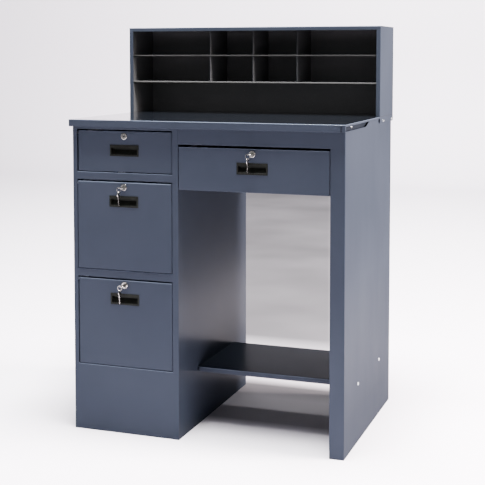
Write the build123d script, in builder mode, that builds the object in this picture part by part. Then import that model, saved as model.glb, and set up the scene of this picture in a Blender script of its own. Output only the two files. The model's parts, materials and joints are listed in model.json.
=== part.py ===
"""Folded steel pedestal desk: four locking drawers, a foot shelf and a pigeonhole riser.

The desk faces -Y and stands on z = 0.  The origin is the middle of the footprint of the whole desk,
keys included.  Every sheet piece is folded from a profile, so its bends are real radii.
"""
from build123d import *
from math import sqrt
import os

os.makedirs("parts", exist_ok=True)

# ---- driving dimensions, millimetres ----
BODY_WIDTH = 868.0          # across the outer faces of pedestal and leg panel
BODY_DEPTH = 620.0          # front face to the back of the desk
DESK_WIDTH = 876.0
DESK_TOP = 972.0
OVERALL_HEIGHT = 1262.0
SHEET = 1.2                 # body and drawer fronts
THIN = 1.0                  # drawer trays
BEND = 2.0                  # outside radius of a body fold
CORNER = 1.0                # clears the inside radius of a fold
FRONT_BEND = 3.0            # rounded edge of a drawer front
FIT = 0.2                   # gap left between pieces that are screwed together

PEDESTAL_WIDTH = 353.0
LEFT_STILE = 15.5
RIGHT_STILE = 19.0
LEG_FLANGE = 44.0
LIP = 22.0                  # height of the desktop's front lip
LIP_OVERHANG = 18.0
LIP_RETURN = 14.0
SIDE_HEM = 6.0
RAIL_DEPTH = 18.0           # how far rails and apron fold back

RISER_DEPTH = 196.0
RISER_FLANGE = 14.0
RISER_LIP = 12.0
RISER_SKIRT = 19.0          # the riser's sides lap this far down over the desktop's edge
UPPER_SHELF = 1170.0
LOWER_SHELF = 1080.0
SHELF_SETBACK = 29.0
SHELF_LIP = 4.0
DIVIDER_PITCH = 153.0

FOOT_SHELF_TOP = 187.0
FOOT_SHELF_FRONT = 152.0    # distance behind the front face
FOOT_SHELF_DEPTH = 326.0
FOOT_SHELF_FLANGE = 14.6

BOLT_RADIUS = 2.5           # shank
RISER_SCREW_RADIUS = 1.6    # shank
FLANGE_INSET = 8.0          # the desktop's bolting flange hangs just inside the leg panel
RELIEF_START = 3.0          # the outer panels' top edges are cut away over this run,
RELIEF_END = 250.0          # behind the front face,
RELIEF_FADE = 300.0         # and rise back to full height here
STIFFENER_PLACES = (200.0, 420.0)
HAT_CROWN = 20.0            # half width of a stiffener's crown
HAT_BRIM = 34.0             # half width over its brims
FLOOR_HEIGHT = 30.0         # pedestal floor above the ground
CROSSBAR_DROP = 73.0        # rear crossbar's lower edge below the desktop

PULL_WIDTH = 97.0
PULL_HEIGHT = 35.0
PULL_BELOW_TOP = 64.0
PULL_PROUD = 1.6
PULL_BODY_DEPTH = 15.0
PULL_RIM = 5.0              # bezel width around the finger recess
PULL_WALL = 1.6
PULL_BODY_INSET = (4.2, 2.2)    # pocket moulding inside the bezel's edge, across and up
PULL_CUT_INSET = (4.0, 2.0)     # the hole it goes through
PULL_LIP = 9.0              # upper rim that the fingers hook behind

LOCK_BELOW_TOP = 20.0
BEZEL_RADIUS = 10.0
BEZEL_PROUD = 2.4
BARREL_RADIUS = 8.6
BARREL_LENGTH = 23.0
PLUG_RADIUS = 6.5
PLUG_CLEARANCE = 0.05
PLUG_LENGTH = 26.0
PLUG_TAIL = 3.0             # half width of the square tail that carries the cam
KEYWAY_DEPTH = 17.0
CAM_LENGTH = 34.0
CAM_WIDTH = 10.0
CAM_THICKNESS = 2.0

KEY_THICKNESS = 2.0
KEY_LENGTH = 44.0
BOW_RADIUS = 10.0
BOW_REACH = 28.0            # tip of the inserted key ahead of the drawer front
KEY_HOLE_RADIUS = 2.5
KEY_HOLE_FROM_TIP = 4.5
BLADE_WIDTH = 6.4
RING_RADIUS = 7.0
RING_WIRE = 0.6             # half the thickness of the ring's square wire
RING_PLAY = 0.55            # between the wire and the bow's web, each side

DRAWER_GAP = 2.0            # beside and below each drawer front
DRAWER_TOP_GAP = 4.5
PAN_DEPTH = 16.0            # the drawer front is a shallow pan
TRAY_SIDE_GAP = 11.0        # from the opening's edge to the tray's wall
CENTRE_TRAY_GAP = 16.0
TRAY_BELOW_TOP = 12.0
TRAY_ABOVE_BOTTOM = 6.0
TRAY_LENGTH = 585.0
TRAY_FLANGE = 9.0
TRAY_FLANGE_THICKNESS = 3.0
WELD_GAP = 0.05             # between the sheets of a tray at their welds
RUNNER_START = 22.0         # behind the front face
RUNNER_SLOT = 4.4
RUNNER_LIP_GAP = 1.2        # from a runner's lips to the tray's wall

# ---- worked-out places ----
MIDDLE_PROUD = 3.0          # the middle drawer's front stands furthest ahead of the body
SPARE_REACH = BOW_REACH - KEY_HOLE_FROM_TIP + BOW_RADIUS + MIDDLE_PROUD
FRONT = (SPARE_REACH - BODY_DEPTH) / 2
BACK = FRONT + BODY_DEPTH
REAR = BACK - SHEET - BEND   # back face of the pedestal and leg, inside the desktop's back lip
LEFT = -BODY_WIDTH / 2
RIGHT = BODY_WIDTH / 2
PEDESTAL_RIGHT = LEFT + PEDESTAL_WIDTH
LEG_LEFT = RIGHT - LEG_FLANGE
DESK_UNDERSIDE = DESK_TOP - SHEET
LIP_BOTTOM = DESK_TOP - LIP
RISER_OUTER = DESK_WIDTH / 2 + FIT + SHEET
RISER_INNER = RISER_OUTER - SHEET
RISER_FRONT = BACK - RISER_DEPTH
PEDESTAL_OPENING = (LEFT + LEFT_STILE, PEDESTAL_RIGHT - RIGHT_STILE)
FOOT_BOLT_HOLES = ((FRONT + 166.0, 180.0), (FRONT + 452.0, 180.0))
DESKTOP_BOLT_HOLES = ((FRONT + 95.0, 959.0),)
RISER_HOLES = ((FRONT + 470.5, 957.5), (FRONT + 594.5, 957.5))

# name, left and right of the opening, bottom and top, how proud the front stands, key in the lock
DRAWERS = (
    ("upper_drawer", *PEDESTAL_OPENING, 810.0, 942.0, -2.0, False),
    ("middle_drawer", *PEDESTAL_OPENING, 508.0, 786.0, MIDDLE_PROUD, True),
    ("lower_drawer", *PEDESTAL_OPENING, 208.0, 484.0, 0.0, True),
    ("centre_drawer", PEDESTAL_RIGHT, LEG_LEFT, 764.0, 900.0, 2.0, True),
)


def slab(x, y, z, mode=Mode.ADD):
    """A block between pairs of coordinates, added to or cut from the piece in hand."""
    middle = [(a + b) / 2 for a, b in (x, y, z)]
    with Locations(tuple(middle)):
        Box(x[1] - x[0], y[1] - y[0], z[1] - z[0], mode=mode)


def folded(plane, points, length, radius=BEND, thickness=SHEET):
    """A sheet folded along points, its material on the right of the line, drawn out of the plane."""
    with BuildSketch(plane) as profile:
        with BuildLine():
            FilletPolyline(*points, radius=radius)
            offset(amount=thickness, side=Side.RIGHT)
        make_face()
    extrude(profile.sketch, amount=length)


def rod(centre, radius, length, mode=Mode.ADD):
    """A round bar along +Y from its front end's centre."""
    with Locations(Location(centre, (-90, 0, 0))):
        Cylinder(radius, length, align=(Align.CENTER, Align.CENTER, Align.MIN), mode=mode)


def drill(face, holes, shank_radius):
    """Clearance holes along X through the sheets within a few millimetres of face."""
    for y, z in holes:
        with Locations(Location((face, y, z), (0, 90, 0))):
            Cylinder(shank_radius + FIT, 4 * SHEET, mode=Mode.SUBTRACT)


def relieve(face):
    """Cut the top edge of an outer panel away towards the front, where the desktop's bolt is reached."""
    relief_top = DESK_TOP - SIDE_HEM
    with BuildSketch(Plane.YZ.offset(face - 2 * SHEET)) as relief:
        with BuildLine():
            Polyline(
                (FRONT + RELIEF_START, relief_top),
                (FRONT + RELIEF_START, LIP_BOTTOM + 1),
                (FRONT + RELIEF_END, LIP_BOTTOM + 1),
                (FRONT + RELIEF_FADE, relief_top),
                close=True,
            )
        make_face()
    extrude(relief.sketch, amount=4 * SHEET, mode=Mode.SUBTRACT)


def save(piece, name):
    """Label a finished piece and write it under its node name."""
    piece.part.label = name
    export_step(piece.part, f"parts/{name}.step")


# ================= pedestal =================
def pedestal_side(name, outer, stile, direction, holes, radius):
    """A full-height side panel, its front stile and narrow back flange folded in, drilled for screws."""
    outline = [
        (outer + direction * stile, FRONT),
        (outer, FRONT),
        (outer, REAR),
        (outer + direction * LEFT_STILE, REAR),
    ]
    with BuildPart() as piece:
        folded(Plane.XY, outline if direction > 0 else outline[::-1], DESK_UNDERSIDE)
        drill(outer, holes, radius)
        if direction > 0:
            relieve(outer)
    save(piece, name)


pedestal_side("pedestal_left_side", LEFT, LEFT_STILE, 1, RISER_HOLES, RISER_SCREW_RADIUS)
pedestal_side("pedestal_right_side", PEDESTAL_RIGHT, RIGHT_STILE, -1, FOOT_BOLT_HOLES, BOLT_RADIUS)

with BuildPart() as pedestal_back:
    back_face = REAR - SHEET
    inside = (LEFT + SHEET + CORNER, PEDESTAL_RIGHT - SHEET - CORNER)
    slab(inside, (back_face - SHEET, back_face), (0, DESK_UNDERSIDE))
save(pedestal_back, "pedestal_back")

with BuildPart() as pedestal_floor:
    floor_front = FRONT + RAIL_DEPTH + FIT
    floor_back = back_face - SHEET - FIT
    floor_profile = [
        (floor_front, 0),
        (floor_front, FLOOR_HEIGHT),
        (floor_back, FLOOR_HEIGHT),
        (floor_back, 0),
    ]
    folded(Plane.YZ.offset(inside[0]), floor_profile, inside[1] - inside[0])
save(pedestal_floor, "pedestal_floor")


def rail(name, left, right, bottom, top):
    """A channel that closes the front between two openings and folds back above and below."""
    outline = [(FRONT + RAIL_DEPTH, bottom), (FRONT, bottom), (FRONT, top), (FRONT + RAIL_DEPTH, top)]
    with BuildPart() as piece:
        folded(Plane.YZ.offset(left), outline, right - left)
    save(piece, name)


rail("top_rail", *PEDESTAL_OPENING, 942.0, DESK_UNDERSIDE)
rail("upper_rail", *PEDESTAL_OPENING, 786.0, 810.0)
rail("lower_rail", *PEDESTAL_OPENING, 484.0, 508.0)
rail("base_panel", *PEDESTAL_OPENING, 0.0, 208.0)

# ================= leg and cross members =================
with BuildPart() as leg_panel:
    leg_outline = [
        (LEG_LEFT, REAR),
        (RIGHT, REAR),
        (RIGHT, FRONT),
        (LEG_LEFT, FRONT),
    ]
    folded(Plane.XY, leg_outline, DESK_UNDERSIDE)
    relieve(RIGHT)
    drill(RIGHT, RISER_HOLES, RISER_SCREW_RADIUS)
    drill(RIGHT, FOOT_BOLT_HOLES, BOLT_RADIUS)
save(leg_panel, "leg_panel")

rail("apron", PEDESTAL_RIGHT, LEG_LEFT, 902.0, DESK_UNDERSIDE)

with BuildPart() as rear_crossbar:
    bar_back = REAR - SHEET
    bar_profile = [
        (bar_back - RAIL_DEPTH, DESK_UNDERSIDE - FIT),
        (bar_back, DESK_UNDERSIDE - FIT),
        (bar_back, DESK_TOP - CROSSBAR_DROP),
        (bar_back - RAIL_DEPTH, DESK_TOP - CROSSBAR_DROP),
    ]
    folded(Plane.YZ.offset(PEDESTAL_RIGHT), bar_profile, RIGHT - SHEET - CORNER - PEDESTAL_RIGHT)
save(rear_crossbar, "rear_crossbar")

# ================= desktop =================
with BuildPart() as desktop:
    half = DESK_WIDTH / 2
    top_profile = [
        (FRONT - LIP_OVERHANG + LIP_RETURN, LIP_BOTTOM),
        (FRONT - LIP_OVERHANG, LIP_BOTTOM),
        (FRONT - LIP_OVERHANG, DESK_TOP),
        (BACK, DESK_TOP),
        (BACK, LIP_BOTTOM),
    ]
    folded(Plane.YZ.offset(-half), top_profile, DESK_WIDTH)
    for side in (-1, 1):
        hem = sorted((side * half, side * (half - SHEET)))
        slab(hem, (FRONT - LIP_OVERHANG + BEND, BACK - BEND), (DESK_TOP - SIDE_HEM, DESK_TOP - SHEET / 2))
        flange = sorted((side * (RIGHT - FLANGE_INSET), side * (RIGHT - FLANGE_INSET - SHEET)))
        slab(flange, (FRONT + RAIL_DEPTH + 1, FRONT + RELIEF_FADE), (LIP_BOTTOM, DESK_TOP - SHEET / 2))
        drill(side * (RIGHT - FLANGE_INSET), DESKTOP_BOLT_HOLES, BOLT_RADIUS)
    side_edges = desktop.edges().filter_by(Axis.Y).group_by(Axis.Z)[-1]
    fillet(side_edges.sort_by(Axis.X)[0], SHEET - 0.2)
    fillet(desktop.edges().filter_by(Axis.Y).group_by(Axis.Z)[-1].sort_by(Axis.X)[-1], SHEET - 0.2)
save(desktop, "desktop")

with BuildPart() as desktop_stiffeners:
    brim_z = DESK_UNDERSIDE - SHEET
    crown_z = DESK_UNDERSIDE - RAIL_DEPTH
    for place in STIFFENER_PLACES:
        middle = FRONT + place
        hat = [
            (middle - HAT_BRIM, brim_z),
            (middle - HAT_CROWN, brim_z),
            (middle - HAT_CROWN, crown_z),
            (middle + HAT_CROWN, crown_z),
            (middle + HAT_CROWN, brim_z),
            (middle + HAT_BRIM, brim_z),
        ]
        folded(Plane.YZ.offset(PEDESTAL_RIGHT + FIT), hat[::-1], LEG_LEFT - PEDESTAL_RIGHT - 2 * FIT)
save(desktop_stiffeners, "desktop_stiffeners")


def bolt(direction, head_face, y, z, length, head_radius=5.0, shank_radius=BOLT_RADIUS):
    """A domed bolt along X: its head outside head_face, its shank running inwards."""
    turn = 90 * direction
    with Locations(Location((head_face, y, z), (0, turn, 0))):
        Cylinder(head_radius, 2.6, align=(Align.CENTER, Align.CENTER, Align.MIN))
    rim = [edge for edge in edges(Select.LAST).filter_by(GeomType.CIRCLE)]
    outer = sorted(rim, key=lambda edge: direction * edge.center().X)[-1]
    fillet(outer, 1.8)
    with Locations(Location((head_face, y, z), (0, -turn, 0))):
        Cylinder(shank_radius, length, align=(Align.CENTER, Align.CENTER, Align.MIN))


with BuildPart() as desktop_bolts:
    for side in (-1, 1):
        for y, z in DESKTOP_BOLT_HOLES:
            bolt(side, side * (RIGHT - FLANGE_INSET), y, z, SHEET + 6, 4.0)
save(desktop_bolts, "desktop_bolts")

# ================= riser =================
SKIRT_BOTTOM = DESK_TOP - RISER_SKIRT
RISER_CAP_UNDERSIDE = OVERALL_HEIGHT - SHEET


def riser_side(name, direction):
    """A side panel with folded front and back flanges, cut away below where it laps the desktop."""
    outer = direction * RISER_OUTER
    inner = direction * (RISER_OUTER - RISER_FLANGE)
    outline = [(inner, RISER_FRONT), (outer, RISER_FRONT), (outer, BACK - FIT), (inner, BACK - FIT)]
    with BuildPart() as piece:
        folded(
            Plane.XY.offset(SKIRT_BOTTOM),
            outline[::-1] if direction > 0 else outline,
            RISER_CAP_UNDERSIDE - SKIRT_BOTTOM,
        )
        drill(outer, RISER_HOLES, RISER_SCREW_RADIUS)
        flanges = sorted((direction * RISER_INNER, inner - direction))
        slab(flanges, (RISER_FRONT - 1, BACK + 1), (SKIRT_BOTTOM - 1, DESK_TOP + FIT), Mode.SUBTRACT)
        lip_y = (RISER_FRONT - 1, RISER_FRONT + BEND + 1)
        lip_z = (OVERALL_HEIGHT - RISER_LIP - FIT, OVERALL_HEIGHT)
        slab(flanges, lip_y, lip_z, Mode.SUBTRACT)
    save(piece, name)


riser_side("riser_left_side", -1)
riser_side("riser_right_side", 1)

with BuildPart() as riser_top:
    cap_profile = [
        (RISER_FRONT, OVERALL_HEIGHT - RISER_LIP),
        (RISER_FRONT, OVERALL_HEIGHT),
        (BACK, OVERALL_HEIGHT),
    ]
    folded(Plane.YZ.offset(-RISER_OUTER), cap_profile, 2 * RISER_OUTER)
    for side in (-1, 1):
        end = sorted((side * RISER_INNER, side * (RISER_OUTER + 1)))
        lip_depth = (RISER_FRONT - 1, RISER_FRONT + BEND + 1)
        slab(end, lip_depth, (OVERALL_HEIGHT - RISER_LIP - 1, RISER_CAP_UNDERSIDE), Mode.SUBTRACT)
save(riser_top, "riser_top")

RISER_BACK_FACE = BACK - FIT - SHEET - FIT
with BuildPart() as riser_back:
    panel_x = (CORNER - RISER_INNER, RISER_INNER - CORNER)
    slab(panel_x, (RISER_BACK_FACE - SHEET, RISER_BACK_FACE), (DESK_TOP, RISER_CAP_UNDERSIDE))
save(riser_back, "riser_back")

SHELF_FRONT = RISER_FRONT + SHELF_SETBACK
SHELF_BACK = RISER_BACK_FACE - SHEET
NOTCH_BACK = (SHELF_FRONT + SHELF_BACK) / 2
DIVIDER_PLACES = (-DIVIDER_PITCH, 0.0, DIVIDER_PITCH)
SLOT_WIDTH = SHEET + 2 * FIT


def riser_shelf(name, top, slotted):
    """A shelf with a short front lip; the upper one is slotted from behind for the dividers."""
    profile = [(SHELF_FRONT, top - SHELF_LIP), (SHELF_FRONT, top), (SHELF_BACK, top)]
    with BuildPart() as piece:
        folded(Plane.YZ.offset(FIT - RISER_INNER), profile, 2 * (RISER_INNER - FIT), radius=1.6)
        for place in DIVIDER_PLACES if slotted else ():
            slot = (place - SLOT_WIDTH / 2, place + SLOT_WIDTH / 2)
            slab(slot, (NOTCH_BACK, SHELF_BACK + 1), (top - 3, top + 3), Mode.SUBTRACT)
    save(piece, name)


riser_shelf("riser_upper_shelf", UPPER_SHELF, True)
riser_shelf("riser_lower_shelf", LOWER_SHELF, False)

for name, place in zip(("left_divider", "middle_divider", "right_divider"), DIVIDER_PLACES):
    with BuildPart() as divider:
        wall = (place - SHEET / 2, place + SHEET / 2)
        slab(wall, (SHELF_FRONT, SHELF_BACK), (LOWER_SHELF, RISER_CAP_UNDERSIDE))
        notch_z = (UPPER_SHELF - SHELF_LIP - FIT, UPPER_SHELF + FIT)
        slab((wall[0] - 1, wall[1] + 1), (SHELF_FRONT - 1, NOTCH_BACK + FIT), notch_z, Mode.SUBTRACT)
    save(divider, name)

with BuildPart() as riser_screws:
    for side in (-1, 1):
        for y, z in RISER_HOLES:
            bolt(side, side * RISER_OUTER, y, z, RISER_OUTER - RIGHT + 4, 3.4, RISER_SCREW_RADIUS)
save(riser_screws, "riser_screws")

# ================= foot shelf =================
SHELF_FLANGE_BOTTOM = FOOT_SHELF_TOP - FOOT_SHELF_FLANGE
with BuildPart() as foot_shelf:
    shelf_x = (PEDESTAL_RIGHT, RIGHT - SHEET)
    shelf_y = (FRONT + FOOT_SHELF_FRONT, FRONT + FOOT_SHELF_FRONT + FOOT_SHELF_DEPTH)
    slab(shelf_x, shelf_y, (SHELF_FLANGE_BOTTOM, FOOT_SHELF_TOP))
    fillet(foot_shelf.edges().filter_by(Axis.Z), 10)
    fillet(foot_shelf.faces().sort_by(Axis.Z)[-1].edges(), BEND)
    offset(amount=-SHEET, openings=foot_shelf.faces().sort_by(Axis.Z)[0])
    drill(PEDESTAL_RIGHT, FOOT_BOLT_HOLES, BOLT_RADIUS)
    drill(RIGHT, FOOT_BOLT_HOLES, BOLT_RADIUS)
save(foot_shelf, "foot_shelf")

with BuildPart() as foot_shelf_bolts:
    for y, z in FOOT_BOLT_HOLES:
        bolt(1, RIGHT, y, z, 2 * SHEET + 8)
        bolt(-1, PEDESTAL_RIGHT - SHEET, y, z, 2 * SHEET + 8)
save(foot_shelf_bolts, "foot_shelf_bolts")


# ================= runners =================
def runner(web, lip_end, flange_middle):
    """A channel fixed at web, open towards lip_end, that the tray's flange slides in."""
    reach = sorted((web, lip_end))
    web_side = sorted((web, web + (SHEET if lip_end > web else -SHEET)))
    run = (FRONT + RUNNER_START, BACK - 12)
    half_slot = RUNNER_SLOT / 2
    slab(reach, run, (flange_middle + half_slot, flange_middle + half_slot + SHEET))
    slab(reach, run, (flange_middle - half_slot - SHEET, flange_middle - half_slot))
    slab(web_side, run, (flange_middle - half_slot - SHEET, flange_middle + half_slot + SHEET))


def flange_height(top):
    """Middle of a tray's flange, in a drawer opening that ends at top."""
    return top - TRAY_BELOW_TOP - TRAY_FLANGE_THICKNESS / 2


with BuildPart() as pedestal_runners:
    lip_end = TRAY_SIDE_GAP - RUNNER_LIP_GAP
    for opening in DRAWERS[:3]:
        runner(LEFT + SHEET, opening[1] + lip_end, flange_height(opening[4]))
        runner(PEDESTAL_RIGHT - SHEET, opening[2] - lip_end, flange_height(opening[4]))
save(pedestal_runners, "pedestal_runners")

with BuildPart() as centre_runners:
    centre = DRAWERS[3]
    lip_end = CENTRE_TRAY_GAP - RUNNER_LIP_GAP
    runner(PEDESTAL_RIGHT, PEDESTAL_RIGHT + lip_end, flange_height(centre[4]))
    runner(LEG_LEFT, LEG_LEFT - lip_end, flange_height(centre[4]))
save(centre_runners, "centre_runners")

with BuildPart() as runner_hanger:
    hanger_profile = [
        (LEG_LEFT, flange_height(centre[4]) - 10),
        (LEG_LEFT, DESK_UNDERSIDE),
        (LEG_LEFT + 24, DESK_UNDERSIDE),
    ]
    hanger_end = bar_back - RAIL_DEPTH - CORNER
    folded(Plane.XZ.offset(-hanger_end), hanger_profile, hanger_end - FRONT - RAIL_DEPTH - CORNER)
save(runner_hanger, "runner_hanger")


# ================= drawers and locks =================
def drawer_front(name, x, z, face, middle, lock_z, pull_z):
    """A shallow pan with rounded edges, pierced for the lock and the recessed pull."""
    with BuildPart() as piece:
        slab(x, (face, face + PAN_DEPTH), z)
        fillet(piece.faces().sort_by(Axis.Y)[0].edges(), FRONT_BEND)
        inner_x = (x[0] + SHEET, x[1] - SHEET)
        inner_z = (z[0] + SHEET, z[1] - SHEET)
        slab(inner_x, (face + SHEET, face + PAN_DEPTH + 1), inner_z, Mode.SUBTRACT)
        rod((middle, face - 1, lock_z), BARREL_RADIUS + FIT, SHEET + 2, Mode.SUBTRACT)
        cut_half_x = PULL_WIDTH / 2 - PULL_CUT_INSET[0]
        cut_half_z = PULL_HEIGHT / 2 - PULL_CUT_INSET[1]
        cut_x = (middle - cut_half_x, middle + cut_half_x)
        cut_z = (pull_z - cut_half_z, pull_z + cut_half_z)
        slab(cut_x, (face - 1, face + SHEET + 1), cut_z, Mode.SUBTRACT)
    save(piece, f"{name}_front")


def drawer_tray(name, x, z, face):
    """An open-topped tray: side walls with flanges for the runners, a back and a bottom welded between."""
    start = face + SHEET
    end = face + TRAY_LENGTH
    between = (x[0] + THIN + WELD_GAP, x[1] - THIN - WELD_GAP)
    flange_y = (FRONT + RUNNER_START, end)
    flange_z = (z[1] - TRAY_FLANGE_THICKNESS, z[1])
    with BuildPart() as piece:
        slab((x[0], x[0] + THIN), (start, end), z)
        slab((x[0] - TRAY_FLANGE, x[0]), flange_y, flange_z)
        slab((x[1] - THIN, x[1]), (start, end), z)
        slab((x[1], x[1] + TRAY_FLANGE), flange_y, flange_z)
        slab(between, (end - THIN, end), z)
        slab(between, (start, end - THIN - WELD_GAP), (z[0], z[0] + THIN))
    save(piece, f"{name}_tray")


def drawer_pull(name, middle, face, pull_z):
    """A recessed plastic pull: a thin bezel, and a pocket that undercuts behind the upper rim."""
    half_width = PULL_WIDTH / 2
    half_height = PULL_HEIGHT / 2
    with BuildPart() as piece:
        slab(
            (middle - half_width, middle + half_width),
            (face - PULL_PROUD, face),
            (pull_z - half_height, pull_z + half_height),
        )
        fillet(piece.edges().filter_by(Axis.Y), 1.5)
        fillet(piece.faces().sort_by(Axis.Y)[0].edges(), 0.7)
        body_x = half_width - PULL_BODY_INSET[0]
        body_z = half_height - PULL_BODY_INSET[1]
        slab(
            (middle - body_x, middle + body_x),
            (face, face + PULL_BODY_DEPTH),
            (pull_z - body_z, pull_z + body_z),
        )
        pocket_top = pull_z + body_z - PULL_WALL
        pocket_back = face + PULL_BODY_DEPTH - PULL_WALL
        lip_z = pull_z + half_height - PULL_LIP
        with BuildSketch(Plane.YZ.offset(middle - half_width + PULL_RIM)) as pocket:
            with BuildLine():
                Polyline(
                    (face - PULL_PROUD - 1, lip_z),
                    (face + 2.5, lip_z),
                    (face + 5, pocket_top),
                    (pocket_back, pocket_top),
                    (pocket_back, pull_z + 2),
                    (face, pull_z - half_height + PULL_RIM),
                    (face - PULL_PROUD - 1, pull_z - half_height + PULL_RIM),
                    close=True,
                )
            make_face()
        extrude(pocket.sketch, amount=PULL_WIDTH - 2 * PULL_RIM, mode=Mode.SUBTRACT)
    save(piece, f"{name}_pull")


def lock_housing(name, middle, face, lock_z):
    """The barrel of a cam lock with its round bezel, bored through for the plug."""
    with BuildPart() as piece:
        rod((middle, face - BEZEL_PROUD, lock_z), BEZEL_RADIUS, BEZEL_PROUD)
        fillet(piece.faces().sort_by(Axis.Y)[0].edges(), 1.2)
        rod((middle, face, lock_z), BARREL_RADIUS, BARREL_LENGTH)
        bore = PLUG_RADIUS + PLUG_CLEARANCE
        rod((middle, face - BEZEL_PROUD - 1, lock_z), bore, BARREL_LENGTH + BEZEL_PROUD + 2, Mode.SUBTRACT)
    save(piece, f"{name}_lock_housing")


def lock_plug(name, middle, face, lock_z):
    """The turning core: a keyway across its front and a square tail that carries the cam."""
    nose = face - BEZEL_PROUD + 0.4
    with BuildPart() as piece:
        rod((middle, nose, lock_z), PLUG_RADIUS, face + BARREL_LENGTH + 0.5 - nose)
        fillet(piece.faces().sort_by(Axis.Y)[0].edges(), 0.5)
        slab(
            (middle - PLUG_TAIL, middle + PLUG_TAIL),
            (face + BARREL_LENGTH + 0.5, face + PLUG_LENGTH + 1),
            (lock_z - PLUG_TAIL, lock_z + PLUG_TAIL),
        )
        keyway_x = (middle - BLADE_WIDTH / 2 - 0.2, middle + BLADE_WIDTH / 2 + 0.2)
        keyway_z = (lock_z - KEY_THICKNESS / 2 - 0.2, lock_z + KEY_THICKNESS / 2 + 0.2)
        slab(keyway_x, (nose - 1, face + KEYWAY_DEPTH), keyway_z, Mode.SUBTRACT)
    save(piece, f"{name}_lock_plug")


def lock_cam(name, middle, face, lock_z):
    """A flat arm on the plug's tail that turns up behind the rail above the drawer."""
    start = face + BARREL_LENGTH + 0.7
    half = CAM_WIDTH / 2
    with BuildPart() as piece:
        rod((middle, start, lock_z), half, CAM_THICKNESS)
        tip = middle - CAM_LENGTH + half
        slab((tip, middle), (start, start + CAM_THICKNESS), (lock_z - half, lock_z + half))
        rod((tip, start, lock_z), half, CAM_THICKNESS)
        hole = PLUG_TAIL + PLUG_CLEARANCE
        hole_x = (middle - hole, middle + hole)
        hole_z = (lock_z - hole, lock_z + hole)
        slab(hole_x, (start - 1, start + CAM_THICKNESS + 1), hole_z, Mode.SUBTRACT)
    save(piece, f"{name}_lock_cam")


def key_outline():
    """Half-thickness outline of a key with its bow's centre at the sketch origin, blade towards +Y."""
    blade_end = KEY_LENGTH - BOW_RADIUS
    Circle(BOW_RADIUS)
    with Locations((0, BOW_RADIUS + 1)):
        Rectangle(BLADE_WIDTH + 3, 6)
    with Locations((0, blade_end / 2)):
        Rectangle(BLADE_WIDTH, blade_end)
    for step in range(4):
        with Locations((BLADE_WIDTH / 2 + 0.3, blade_end - 4 - 4 * step)):
            Rectangle(1.8 + 0.5 * (step % 2), 1.6, rotation=45, mode=Mode.SUBTRACT)
    with Locations((0, KEY_HOLE_FROM_TIP - BOW_RADIUS)):
        Circle(KEY_HOLE_RADIUS, mode=Mode.SUBTRACT)


def key(name, middle, face, lock_z):
    """The key in the lock, lying flat with its bow ahead of the drawer."""
    bow_centre = (middle, face - BOW_REACH + BOW_RADIUS, lock_z - KEY_THICKNESS / 2)
    with BuildSketch(Plane(bow_centre, x_dir=(1, 0, 0), z_dir=(0, 0, 1))) as outline:
        key_outline()
    with BuildPart() as piece:
        extrude(outline.sketch, amount=KEY_THICKNESS)
        fillet(piece.edges().filter_by(GeomType.CIRCLE).filter_by(lambda edge: edge.radius > 5), 0.5)
    save(piece, f"{name}_key")


def spare_key(name, middle, face, lock_z):
    """The second key, hanging edge-on from a flat-wire ring through the first key's bow."""
    hole_y = face - BOW_REACH + KEY_HOLE_FROM_TIP
    edge_x = sqrt(BOW_RADIUS**2 - (BOW_RADIUS - KEY_HOLE_FROM_TIP) ** 2)
    ring_x = middle - (KEY_HOLE_RADIUS + edge_x) / 2
    web = (edge_x - KEY_HOLE_RADIUS) / 2
    ring_z = lock_z + KEY_THICKNESS / 2 - sqrt(RING_RADIUS**2 - (web + RING_WIRE + RING_PLAY) ** 2)
    hole_z = ring_z - RING_RADIUS + RING_WIRE + 0.15 - KEY_HOLE_RADIUS
    bow_z = hole_z - BOW_RADIUS + KEY_HOLE_FROM_TIP
    side_plane = Plane((ring_x - KEY_THICKNESS / 2, hole_y, bow_z), x_dir=(0, -1, 0), z_dir=(1, 0, 0))
    with BuildSketch(side_plane) as outline:
        key_outline()
    ring_plane = Plane((ring_x, hole_y + RING_WIRE, ring_z), x_dir=(1, 0, 0), z_dir=(0, -1, 0))
    with BuildSketch(ring_plane) as ring:
        Circle(RING_RADIUS + RING_WIRE)
        Circle(RING_RADIUS - RING_WIRE, mode=Mode.SUBTRACT)
    with BuildPart() as piece:
        extrude(outline.sketch, amount=KEY_THICKNESS)
        fillet(piece.edges().filter_by(GeomType.CIRCLE).filter_by(lambda edge: edge.radius > 5), 0.5)
        extrude(ring.sketch, amount=2 * RING_WIRE)
    save(piece, f"{name}_spare_key")


for name, left, right, bottom, top, proud, keyed in DRAWERS:
    face = FRONT - proud
    middle = (left + right) / 2
    lock_z = top - LOCK_BELOW_TOP
    pull_z = top - PULL_BELOW_TOP
    front_x = (left + DRAWER_GAP, right - DRAWER_GAP)
    front_z = (bottom + DRAWER_GAP, top - DRAWER_TOP_GAP)
    tray_gap = CENTRE_TRAY_GAP if name == "centre_drawer" else TRAY_SIDE_GAP
    tray_x = (left + tray_gap, right - tray_gap)
    tray_z = (bottom + TRAY_ABOVE_BOTTOM, top - TRAY_BELOW_TOP)
    drawer_front(name, front_x, front_z, face, middle, lock_z, pull_z)
    drawer_tray(name, tray_x, tray_z, face)
    drawer_pull(name, middle, face, pull_z)
    lock_housing(name, middle, face, lock_z)
    lock_plug(name, middle, face, lock_z)
    lock_cam(name, middle, face, lock_z)
    if keyed:
        key(name, middle, face, lock_z)
        spare_key(name, middle, face, lock_z)
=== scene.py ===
import json
import math

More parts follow.
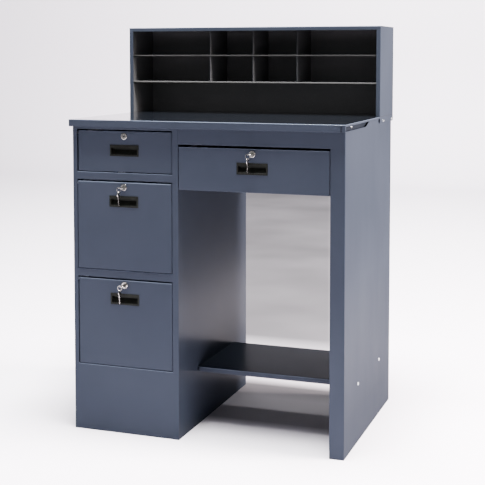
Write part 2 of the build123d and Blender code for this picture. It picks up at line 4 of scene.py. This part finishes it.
import bpy
import numpy as np
from bpy.props import FloatProperty, FloatVectorProperty
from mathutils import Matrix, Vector


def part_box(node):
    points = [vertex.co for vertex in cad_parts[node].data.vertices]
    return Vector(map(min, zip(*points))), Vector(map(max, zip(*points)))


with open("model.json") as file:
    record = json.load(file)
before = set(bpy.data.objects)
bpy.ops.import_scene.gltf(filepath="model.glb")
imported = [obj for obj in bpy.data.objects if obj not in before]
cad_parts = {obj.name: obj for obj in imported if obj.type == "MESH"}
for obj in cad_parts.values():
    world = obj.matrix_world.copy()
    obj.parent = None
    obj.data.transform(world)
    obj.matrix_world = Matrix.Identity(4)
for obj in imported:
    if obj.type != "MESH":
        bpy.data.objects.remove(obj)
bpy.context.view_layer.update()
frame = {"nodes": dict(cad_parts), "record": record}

bl_info = {
    "name": "Steel pedestal desk",
    "version": (1, 0, 0),
    "blender": (4, 5, 0),
    "location": "3D View > Sidebar > Desk",
    "description": "Paints the desk's sheet metal, fits its pulls, locks and keys, and sets the studio",
    "category": "Object",
}

DRAWERS = ("upper_drawer", "middle_drawer", "lower_drawer", "centre_drawer")

MM = 0.001
FADE = 0.3 * MM                 # how softly one paint gives way to the next at an edge
RISER_SKIN = 1.1 * MM           # just under the thickness of the riser's sheet
RISER_FACE = 2.5 * MM           # the riser's front edges, which stay slate
PAINT_SPECULAR = 0.007          # the powder coat mirrors little, except at a grazing angle
SIDE_SHADE_TOP = 0.50                # painted shade darkens and roughens the leg's outer side from here down, metres, and fully below here
SIDE_SHADE_FULL = 0.10               # and fully below here

# The camera stands a little right of the desk and above its worktop, aimed left and slightly down.
CAMERA_PLACE = (1.2081, -3.3448, 1.1660)
CAMERA_TURN = 0.3412            # radians
CAMERA_DIP = 0.0628             # radians
CAMERA_SHIFT = -0.2406          # of the sensor's width
SENSOR_WIDTH = 36.0

# Each soft light's place, its target, and its width and height, metres.
OVERHEAD_LIGHT = ((0.2, -0.45, 4.4), (0.1, -0.2, 0.0), (1.5, 1.5))
BACKDROP_LIGHT = ((0.0, 3.2, 5.0), (0.0, 7.2, 1.6), (5.0, 2.0))
SIDE_LIGHT = ((4.2, 0.4, 2.1), (0.0, 0.0, 1.0), (1.6, 1.8))
WHITE = (1.0, 1.0, 1.0)
SIDE_TINT = (1.0, 0.90, 0.87)
FILL_TINT = (0.97, 0.97, 1.0, 1.0)
CLIP_END = 60.0

# The paper's profile: a floor, a quarter turn and an upright wall, metres.
FLOOR_FRONT = -9.0
TURN_START = 6.3
TURN_RADIUS = 1.2
TURN_STEPS = 24
WALL_TOP = 2.0
PAPER_REACH = 12.0
# The grey patches on the paper are painted shade.
FAN_APEX = (1.208, -3.345)      # the paper's grey patches fan out from here,
KNEEHOLE_FAN = (-0.37, -0.27)   # behind the kneehole between these slopes, sideways over depth,
ASIDE_FAN = -0.085              # and to the right from this slope on


# ---------------------------------------------------------------- settings
class DeskPaintSettings(bpy.types.PropertyGroup):
    """Colours and gloss of the desk's own finishes."""

    slate: FloatVectorProperty(
        name="Slate", description="Powder coat on the sheet metal", subtype="COLOR",
        size=3, min=0, max=1, default=(0.0250, 0.0299, 0.0411))
    slate_shade: FloatVectorProperty(
        name="Slate, darker", description="The darker drift in the powder coat", subtype="COLOR",
        size=3, min=0, max=1, default=(0.0206, 0.0249, 0.0350))
    # painted shade: this near black stands for the shade deep inside the riser
    riser_shade: FloatVectorProperty(
        name="Liner", description="Dark paint inside the riser", subtype="COLOR",
        size=3, min=0, max=1, default=(0.075, 0.075, 0.078))
    # painted highlight: this light colour stands for the light that the shelves' front hems catch
    hem_highlight: FloatVectorProperty(
        name="Shelf hem", description="Highlit front edges of the riser's shelves", subtype="COLOR",
        size=3, min=0, max=1, default=(0.075, 0.074, 0.073))
    pull_black: FloatVectorProperty(
        name="Pull black", description="Moulded plastic of the pulls", subtype="COLOR",
        size=3, min=0, max=1, default=(0.0050, 0.0056, 0.0046))
    nickel: FloatVectorProperty(
        name="Nickel", description="Plating on locks and keys", subtype="COLOR",
        size=3, min=0, max=1, default=(0.40, 0.39, 0.37))
    zinc: FloatVectorProperty(
        name="Zinc", description="Plating on screws, cams and runners", subtype="COLOR",
        size=3, min=0, max=1, default=(0.42, 0.43, 0.45))
    paint_roughness: FloatProperty(
        name="Paint roughness", description="Semi-gloss powder coat", subtype="FACTOR",
        min=0.05, max=1, default=0.24)


class DeskStudioSettings(bpy.types.PropertyGroup):
    """The floor, the lights and the camera's lens."""

    floor: FloatVectorProperty(
        name="Floor", description="Paper sweep under and behind the desk", subtype="COLOR",
        size=3, min=0, max=1, default=(0.88, 0.825, 0.90))
    shade: FloatProperty(
        name="Backdrop shade", description="How much the paper darkens behind the desk", subtype="FACTOR",
        min=0, max=1, default=0.99)
    sky_strength: FloatProperty(
        name="Fill", description="Even light from all round", min=0, default=0.5)
    overhead_power: FloatProperty(
        name="Overhead", description="Soft light straight above the desk", min=0, default=1600.0)
    backdrop_power: FloatProperty(
        name="Backdrop light", description="Soft light on the upright paper", min=0, default=1300.0)
    side_power: FloatProperty(
        name="Side", description="Soft light from the leg side", min=0, default=1700.0)
    lens: FloatProperty(
        name="Lens", description="Focal length in millimetres", min=10, default=82.39)


# ---------------------------------------------------------------- shader maths
class Socket:
    """A shader value that adds Math nodes when it is used in an expression."""

    def __init__(self, tree, link):
        self.tree = tree
        self.link = link

    def _math(self, operation, other=None, flip=False, clamp=False):
        node = self.tree.nodes.new("ShaderNodeMath")
        node.operation = operation
        node.use_clamp = clamp
        operands = [self] if other is None else ([other, self] if flip else [self, other])
        for slot, value in zip(node.inputs, operands):
            plug(self.tree, slot, value)
        return Socket(self.tree, node.outputs[0])

    def __add__(self, other):
        return self._math("ADD", other)

    __radd__ = __add__

    def __mul__(self, other):
        return self._math("MULTIPLY", other)

    __rmul__ = __mul__

    def __sub__(self, other):
        return self._math("SUBTRACT", other)

    def __rsub__(self, other):
        return self._math("SUBTRACT", other, flip=True)

    def __truediv__(self, other):
        return self._math("DIVIDE", other)

    def __rtruediv__(self, other):
        return self._math("DIVIDE", other, flip=True)

    def clamped(self):
        """The value held between zero and one."""
        return self._math("ADD", 0.0, clamp=True)

    def between(self, low, high, soft):
        """One from low to high, falling to zero over the distance soft outside them."""
        rise = ((self - (low - soft)) * (1 / soft)).clamped()
        fall = (((high + soft) - self) * (1 / soft)).clamped()
        return rise * fall


def plug(tree, slot, value):
    """Feeds a node's input from a wrapped socket, or sets it to a constant."""
    if isinstance(value, Socket):
        tree.links.new(value.link, slot)
    elif isinstance(value, (tuple, list)) and len(value) == 3 and slot.type == "RGBA":
        slot.default_value = (*value, 1.0)
    else:
        slot.default_value = value


def scaled(colour, amount):
    """A colour made darker or lighter by one factor."""
    return tuple(amount * channel for channel in colour)


class Finish:
    """One material: a Principled shader and the nodes that vary it."""

    def __init__(self, name):
        self.material = bpy.data.materials.new(name)
        self.material.use_nodes = True
        self.tree = self.material.node_tree
        self.tree.nodes.clear()
        self.shader = self.tree.nodes.new("ShaderNodeBsdfPrincipled")
        output = self.tree.nodes.new("ShaderNodeOutputMaterial")
        self.tree.links.new(self.shader.outputs[0], output.inputs[0])
        self.place = self.add("ShaderNodeTexCoord", out="Object")

    def add(self, kind, settings=None, out=0, **values):
        """Adds any node: settings are its properties, values feed sockets by name or, as i0, by number."""
        node = self.tree.nodes.new(kind)
        for key, value in (settings or {}).items():
            setattr(node, key, value)
        for key, value in values.items():
            numbered = key[0] == "i" and key[1:].isdigit()
            plug(self.tree, node.inputs[int(key[1:]) if numbered else key], value)
        return Socket(self.tree, node.outputs[out])

    def noise(self, scale, detail=2.0, roughness=0.5, where=None):
        """Noise of a given number of cells to the metre."""
        return self.add("ShaderNodeTexNoise", Vector=where or self.place, Scale=scale, Detail=detail,
                        Roughness=roughness)

    def ramp(self, value, low, high):
        """Zero below low, one above high, straight between."""
        return self.add("ShaderNodeMapRange", {"clamp": True}, i0=value, i1=low, i2=high, i3=0.0, i4=1.0)

    def stretched(self, x, y, z):
        """Object coordinates scaled along each axis, for brushed or rolled patterns."""
        return self.add("ShaderNodeMapping", Vector=self.place, Scale=(x, y, z))

    def axes(self):
        """The X, Y and Z of Object coordinates, in metres."""
        return [self.add("ShaderNodeSeparateXYZ", out=axis, Vector=self.place) for axis in range(3)]

    def tilt(self):
        """How far the surface faces up: 1 on top, 0 upright, between the two on a bend."""
        normal = Socket(self.tree, self.place.link.node.outputs["Normal"])
        return self.add("ShaderNodeSeparateXYZ", out=2, Vector=normal)

    def mix(self, factor, first, second):
        """A colour between two colours."""
        return self.add("ShaderNodeMix", {"data_type": "RGBA"}, out=2, i0=factor, i6=first, i7=second)

    def bump(self, height, strength, depth):
        """Roughens the surface: depth is the height's full range in metres."""
        normal = self.add("ShaderNodeBump", Height=height, Strength=strength, Distance=depth)
        self.set(Normal=normal)

    def set(self, **values):
        """Sets or links the shader's sockets; an underscore stands for a space."""
        for key, value in values.items():
            plug(self.tree, self.shader.inputs[key.replace("_", " ")], value)


def inside_riser(x, y, z):
    """One on every face that looks into the riser."""
    (left, front, _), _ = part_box("riser_left_side")
    _, (right, back, top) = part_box("riser_right_side")
    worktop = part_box("desktop")[1].z
    return (
        x.between(left + RISER_SKIN, right - RISER_SKIN, FADE)
        * y.between(front + RISER_FACE, back, 0.5 * MM)
        * z.between(worktop + FADE, top - 2 * FADE, FADE))


def riser_edges(y, inside):
    """One on the front edges of the riser's shelves and dividers."""
    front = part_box("riser_upper_shelf")[0].y
    return y.between(front - 0.5 * MM, front + 0.8 * MM, 0.4 * MM) * inside


def shelf_hems(z, edges):
    """One on the front edges of the two shelves alone."""
    shelves = [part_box(name) for name in ("riser_upper_shelf", "riser_lower_shelf")]
    return sum(edges * z.between(low.z, high.z, FADE) for low, high in shelves)


def relief_shade(x, z):
    """One on the desktop's flange, where the side panel's relief uncovers it and painted shade darkens it.
    """
    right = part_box("riser_right_side")[1].x
    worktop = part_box("desktop")[1].z
    flange = x.between(right - 16 * MM, right - 11.5 * MM, 0.5 * MM)
    return flange * z.between(worktop - 23 * MM, worktop - 5 * MM, MM)


def powder_coat(paint):
    """Semi-gloss slate powder coat, painted near black inside the riser as shade, with orange peel, slow
    drifts, and more painted shade and highlights.
    """
    finish = Finish("slate_powder_coat")
    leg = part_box("leg_panel")[1].x
    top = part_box("desktop")[1].z
    x, y, z = finish.axes()
    inside = inside_riser(x, y, z)
    edges = riser_edges(y, inside)
    hems = shelf_hems(z, edges)
    worktop = z.between(top - FADE, top + FADE, FADE)
    side = finish.ramp(x, leg - 2 * MM, leg - 1 * MM)
    low_side_shade = side * (1.0 - finish.ramp(z, SIDE_SHADE_FULL, SIDE_SHADE_TOP))
    bend_highlight = finish.tilt().between(0.40, 0.84, 0.12)
    drift = finish.ramp(finish.noise(2.4, 3.0), 0.35, 0.65)
    grain = finish.noise(260.0, 2.0)
    smears = finish.ramp(finish.noise(9.0, 4.0, 0.6, finish.stretched(1.0, 1.0, 0.35)), 0.2, 0.8)

    tone = (drift * 0.85 + grain * 0.15).clamped()
    slate = finish.mix(tone, tuple(paint.slate_shade), tuple(paint.slate))
    # painted shade: the worktop's top face darkened to a quarter of the slate; its coat gives the
    # reflections
    slate = finish.mix(worktop, slate, scaled(paint.slate, 0.25))
    # painted shade: the flange in the recess behind the relief darkened to 0.15 of the slate
    slate = finish.mix(relief_shade(x, z) * 0.75, slate, scaled(paint.slate, 0.15))
    # painted shade: the leg's outer side darkened towards the floor, and made rougher
    slate = finish.mix(low_side_shade * 0.6, slate, scaled(paint.slate, 0.3))
    # painted highlight: bends that tilt upward lightened, standing for the overhead light they catch
    slate = finish.mix(bend_highlight * 0.7, slate, scaled(paint.slate, 4.5))
    # painted shade: near black on every face inside the riser, less on the front edges of shelves and
    # dividers
    riser_shaded = finish.mix(inside * (1.0 - edges * 0.6), slate, tuple(paint.riser_shade))
    # painted highlight on the shelves' front hems, varied by the grain
    hem_highlight_amount = (hems * 0.8 + hems * grain * 0.4).clamped()
    dulled = smears * 0.08 + inside * 0.2 + side * 0.09 + low_side_shade * 0.24
    finish.set(
        Base_Color=finish.mix(hem_highlight_amount, riser_shaded, tuple(paint.hem_highlight)),
        Roughness=dulled + (paint.paint_roughness - 0.04),
        Coat_Weight=worktop * (1.0 - inside), Coat_Roughness=0.03, Specular_IOR_Level=PAINT_SPECULAR)
    finish.bump(finish.noise(240.0, 1.0), 0.035, 0.0001)
    return finish.material


def riser_shade_paint(paint):
    """Flat near-black paint that stands for the shade inside the riser (painted shade), with a dusting of
    lighter specks, and slate on its rear face.
    """
    finish = Finish("riser_painted_shade")
    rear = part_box("riser_back")[1].y
    outside = finish.axes()[1].between(rear - FADE, rear + FADE, 0.1 * MM)
    dust = finish.ramp(finish.noise(260.0, 3.0), 0.62, 0.80)
    cloud = finish.ramp(finish.noise(6.0, 3.0), 0.3, 0.7)
    light = tuple(2.0 * channel + 0.004 for channel in paint.riser_shade)
    riser_shade_speckled = finish.mix((dust * 0.5 + cloud * 0.3).clamped(), tuple(paint.riser_shade), light)
    finish.set(
        Base_Color=finish.mix(outside, riser_shade_speckled, tuple(paint.slate)),
        Roughness=cloud * 0.15 + 0.52, Specular_IOR_Level=0.3)
    finish.bump(finish.noise(700.0, 2.0), 0.15, 0.0001)
    return finish.material


def pull_plastic(paint):
    """Black moulded plastic with a spark-eroded texture."""
    finish = Finish("pull_black_plastic")
    spark = finish.noise(1800.0, 3.0, 0.65)
    worn = finish.ramp(finish.noise(45.0, 3.0), 0.45, 0.75)
    light = tuple(1.7 * channel + 0.0005 for channel in paint.pull_black)
    finish.set(
        Base_Color=finish.mix(worn, tuple(paint.pull_black), light),
        Roughness=worn * 0.12 + 0.50, Specular_IOR_Level=0.06)
    finish.bump(spark, 0.25, 0.00008)
    return finish.material


def plated(name, colour, along, roughness):
    """Bright plating with fine tooling lines along one axis and a few dull spots."""
    finish = Finish(name)
    lines = finish.noise(1.0, 2.0, 0.5, finish.stretched(*along))
    spots = finish.ramp(finish.noise(320.0, 3.0), 0.55, 0.75)
    dulled = (spots * 0.6 + lines * 0.2).clamped()
    finish.set(
        Base_Color=finish.mix(dulled, tuple(colour), scaled(colour, 0.72)),
        Metallic=1.0, Roughness=spots * 0.14 + lines * 0.08 + roughness)
    finish.bump(lines, 0.12, 0.00006)
    return finish.material


def under_shelf(x, y, z):
    """One on the floor between the pedestal and the leg, where a painted shadow falls, fading out towards
    the foot shelf's front.
    """
    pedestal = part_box("pedestal_right_side")[1].x
    (leg, _, _), (_, back, _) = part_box("leg_panel")
    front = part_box("foot_shelf")[0].y
    across = x.between(pedestal - 10 * MM, leg + 10 * MM, 10 * MM)
    along = y.between(front + 100 * MM, back + 5 * MM, 70 * MM)
    return across * along * z.between(-10 * MM, 10 * MM, 10 * MM)


def paper(studio):
    """Matt paper with painted shade: soft grey patches behind the kneehole, under the foot shelf and to
    the far right.
    """
    finish = Finish("studio_paper")
    x, y, z = finish.axes()
    across = (x - FAN_APEX[0]) / (y - FAN_APEX[1])
    behind = across.between(*KNEEHOLE_FAN, 0.06) * y.between(1.0, 40.0, 0.8) * z.between(-1.0, 1.1, 0.3)
    aside = across.between(ASIDE_FAN, 60.0, 0.03)
    under = under_shelf(x, y, z)
    cloud = finish.noise(1.5, 2.0)
    shaded = behind * (1.0 - cloud * 0.1) * studio.shade + aside * 0.88 + under * 0.72
    finish.set(
        Base_Color=finish.mix(shaded.clamped(), tuple(studio.floor), scaled(studio.floor, 0.02)),
        Roughness=0.85, Specular_IOR_Level=0.2)
    return finish.material


# ---------------------------------------------------------------- meshes
def grid_mesh(name, points):
    """A mesh through a grid of points, rows u by columns v, with faces between neighbours."""
    rows, columns = points.shape[:2]
    index = np.arange(rows * columns).reshape(rows, columns)
    corners = [index[:-1, :-1], index[1:, :-1], index[1:, 1:], index[:-1, 1:]]
    quads = np.stack(corners, axis=-1).reshape(-1, 4)
    mesh = bpy.data.meshes.new(name)
    mesh.vertices.add(rows * columns)
    mesh.vertices.foreach_set("co", points.reshape(-1).astype(np.float32))
    mesh.loops.add(quads.size)
    mesh.loops.foreach_set("vertex_index", quads.reshape(-1).astype(np.int32))
    mesh.polygons.add(len(quads))
    mesh.polygons.foreach_set("loop_start", np.arange(0, quads.size, 4, dtype=np.int32))
    mesh.update(calc_edges=True)
    mesh.validate()
    return mesh


def dress(nodes, material):
    """Gives CAD nodes a finish by filling their material slots."""
    for name in nodes:
        for slot in frame["nodes"][name].material_slots:
            slot.material = material


def nodes_with(slot_name):
    """The CAD nodes that the record puts in one material slot."""
    return [part["node"] for part in frame["record"]["subparts"] if part["material_slot"] == slot_name]


# ---------------------------------------------------------------- operators
class DESK_OT_paint_sheet_metal(bpy.types.Operator):
    """Coats the folded sheet metal in slate powder coat"""

    bl_idname = "desk.paint_sheet_metal"
    bl_label = "Paint sheet metal"

    def execute(self, context):
        dress(nodes_with("body_paint"), powder_coat(context.scene.desk_paint))
        dress(nodes_with("riser_liner"), riser_shade_paint(context.scene.desk_paint))
        return {"FINISHED"}


class DESK_OT_fit_hardware(bpy.types.Operator):
    """Gives pulls, locks, keys, screws and runners their plastic and plating"""

    bl_idname = "desk.fit_hardware"
    bl_label = "Fit hardware"

    def execute(self, context):
        paint = context.scene.desk_paint
        dress(nodes_with("black_plastic"), pull_plastic(paint))
        dress(nodes_with("nickel"), plated("bright_nickel", paint.nickel, (300.0, 300.0, 2500.0), 0.16))
        plugs = [f"{drawer}_lock_plug" for drawer in DRAWERS]
        dress(plugs, plated("worn_nickel", scaled(paint.nickel, 0.45), (900.0, 900.0, 900.0), 0.30))
        dress(nodes_with("zinc"), plated("bright_zinc", paint.zinc, (2500.0, 60.0, 2500.0), 0.28))
        return {"FINISHED"}


class DESK_OT_set_studio(bpy.types.Operator):
    """Lays the paper sweep, hangs the lights and places the camera"""

    bl_idname = "desk.set_studio"
    bl_label = "Set studio"

    def execute(self, context):
        studio = context.scene.desk_studio
        self.sweep(context, paper(studio))
        self.fill(context, studio)
        self.light(context, "overhead_light", OVERHEAD_LIGHT, studio.overhead_power)
        self.light(context, "backdrop_light", BACKDROP_LIGHT, studio.backdrop_power)
        self.light(context, "side_light", SIDE_LIGHT, studio.side_power, SIDE_TINT)
        self.camera(context, studio)
        return {"FINISHED"}

    def sweep(self, context, material):
        """A floor that curves up into a wall: a line, a quarter circle and a line, drawn out along X."""
        angles = np.linspace(-math.pi / 2, 0, TURN_STEPS)
        wall = TURN_START + TURN_RADIUS
        y = np.concatenate([[FLOOR_FRONT], TURN_START + TURN_RADIUS * np.cos(angles), [wall]])
        z = np.concatenate([[0.0], TURN_RADIUS + TURN_RADIUS * np.sin(angles), [WALL_TOP]])
        x = np.linspace(-PAPER_REACH, PAPER_REACH, 3)
        points = np.stack(np.broadcast_arrays(x[:, None], y[None, :], z[None, :]), axis=-1)
        sweep = bpy.data.objects.new("paper_sweep", grid_mesh("paper_sweep", points))
        sweep.data.materials.append(material)
        sweep.data.polygons.foreach_set("use_smooth", [True] * len(sweep.data.polygons))
        context.scene.collection.objects.link(sweep)
        return sweep

    def fill(self, context, studio):
        """Even white light from all round."""
        world = bpy.data.worlds.new("studio_fill")
        world.use_nodes = True
        background = world.node_tree.nodes["Background"]
        background.inputs["Color"].default_value = FILL_TINT
        background.inputs["Strength"].default_value = studio.sky_strength
        context.scene.world = world

    def light(self, context, name, rig, power, colour=WHITE):
        """A rectangular soft light that faces its target and stays out of the picture."""
        place, target, size = rig
        lamp = bpy.data.lights.new(name, "AREA")
        lamp.shape = "RECTANGLE"
        lamp.size, lamp.size_y = size
        lamp.energy = power
        lamp.color = colour
        holder = bpy.data.objects.new(name, lamp)
        holder.location = place
        holder.visible_camera = False
        holder.rotation_euler = (Vector(target) - Vector(place)).to_track_quat("-Z", "Y").to_euler()
        context.scene.collection.objects.link(holder)

    def camera(self, context, studio):
        """The camera: its view is shifted down more than tipped, so uprights stay nearly upright."""
        lens = bpy.data.cameras.new("camera")
        lens.sensor_width = SENSOR_WIDTH
        lens.lens = studio.lens
        lens.shift_y = CAMERA_SHIFT
        lens.clip_end = CLIP_END
        holder = bpy.data.objects.new("camera", lens)
        holder.location = CAMERA_PLACE
        holder.rotation_euler = (math.pi / 2 - CAMERA_DIP, 0.0, CAMERA_TURN)
        context.scene.collection.objects.link(holder)
        context.scene.camera = holder


class DESK_PT_sidebar(bpy.types.Panel):
    """Lists the desk's settings and steps"""

    bl_label = "Steel pedestal desk"
    bl_space_type = "VIEW_3D"
    bl_region_type = "UI"
    bl_category = "Desk"

    def draw(self, context):
        for group in (context.scene.desk_paint, context.scene.desk_studio):
            for name in group.bl_rna.properties.keys():
                if name not in {"rna_type", "name"}:
                    self.layout.prop(group, name)
        for step in STEPS:
            self.layout.operator(step.bl_idname)


STEPS = (DESK_OT_paint_sheet_metal, DESK_OT_fit_hardware, DESK_OT_set_studio)
CLASSES = (DeskPaintSettings, DeskStudioSettings, *STEPS, DESK_PT_sidebar)


def register():
    for entry in CLASSES:
        bpy.utils.register_class(entry)
    bpy.types.Scene.desk_paint = bpy.props.PointerProperty(type=DeskPaintSettings)
    bpy.types.Scene.desk_studio = bpy.props.PointerProperty(type=DeskStudioSettings)


def unregister():
    del bpy.types.Scene.desk_studio
    del bpy.types.Scene.desk_paint
    for entry in reversed(CLASSES):
        bpy.utils.unregister_class(entry)


def main():
    """Registers the add-on and runs every step in order."""
    register()
    bpy.ops.desk.paint_sheet_metal()
    bpy.ops.desk.fit_hardware()
    bpy.ops.desk.set_studio()


if __name__ == "__main__":
    main()
